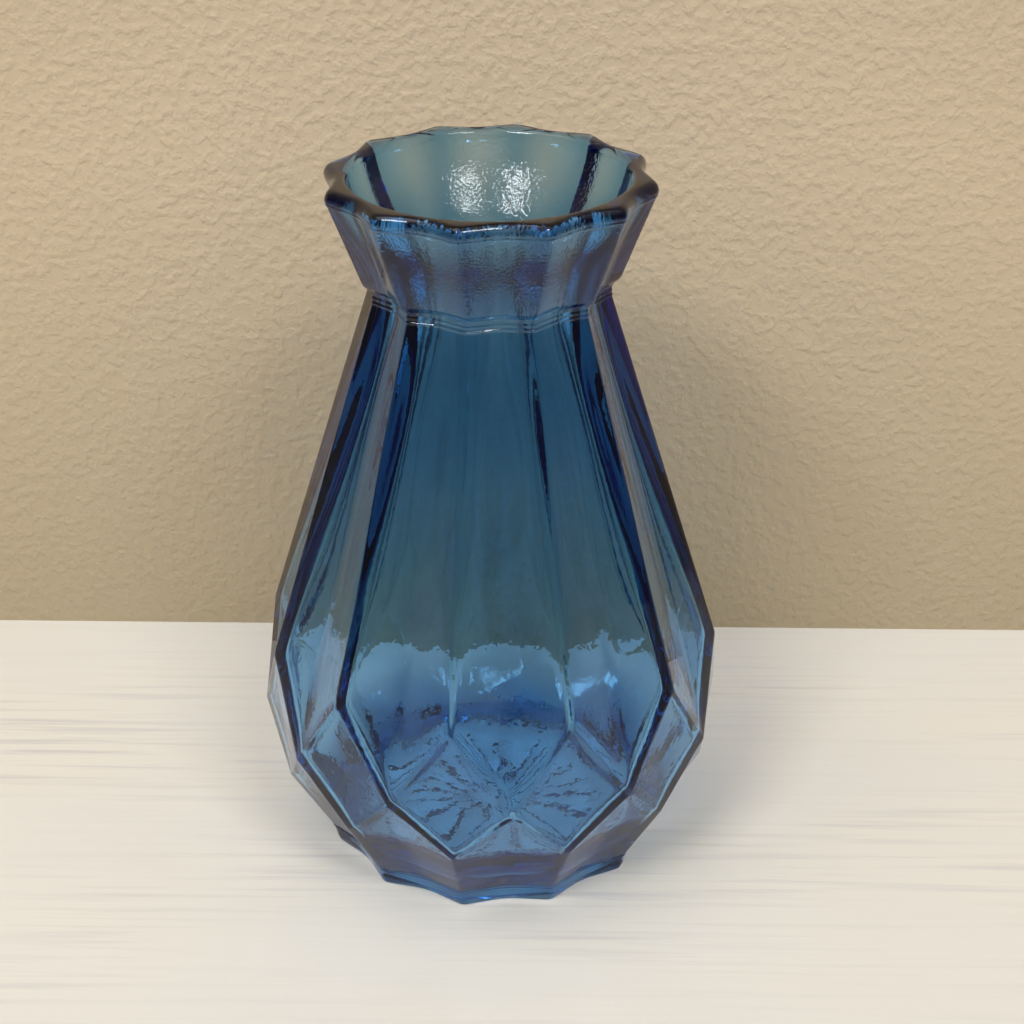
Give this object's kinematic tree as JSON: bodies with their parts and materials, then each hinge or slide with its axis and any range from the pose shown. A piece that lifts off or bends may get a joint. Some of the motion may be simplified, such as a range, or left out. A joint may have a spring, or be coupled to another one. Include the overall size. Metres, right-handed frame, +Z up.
{
  "type": "glass bud vase",
  "caption": "Small moulded blue glass vase with a bulbous diamond-faceted body, a narrow neck, a flared ridged collar and a starburst base, for a short stem or posy.",
  "frame": {"origin": "centre of the foot's underside, on the plane that the vase stands on", "axes": "+Z up along the vase's axis; a valley of the facets lies on +X, and so also on +Y, -X and -Y"},
  "size_m": [0.1002, 0.1002, 0.152],
  "materials": {
    "collar_glass": "clear slate-blue glass, fire-polished lip, orange-peel ripple inside",
    "neck_glass": "clear slate-blue glass between two fine mould seams",
    "body_glass": "clear denim-blue glass, crisp moulded facets outside, soft ripple inside",
    "base_glass": "clear blue glass with a moulded starburst underneath",
    "foot_glass": "clear teal-blue glass, rounded edge, lightly scuffed where it stands"
  },
  "bodies": {
    "root": {"collar": "collar_glass", "neck_band": "neck_glass", "body_wall": "body_glass", "base_plate": "base_glass", "foot_ring": "foot_glass"}
  },
  "joints": []
}
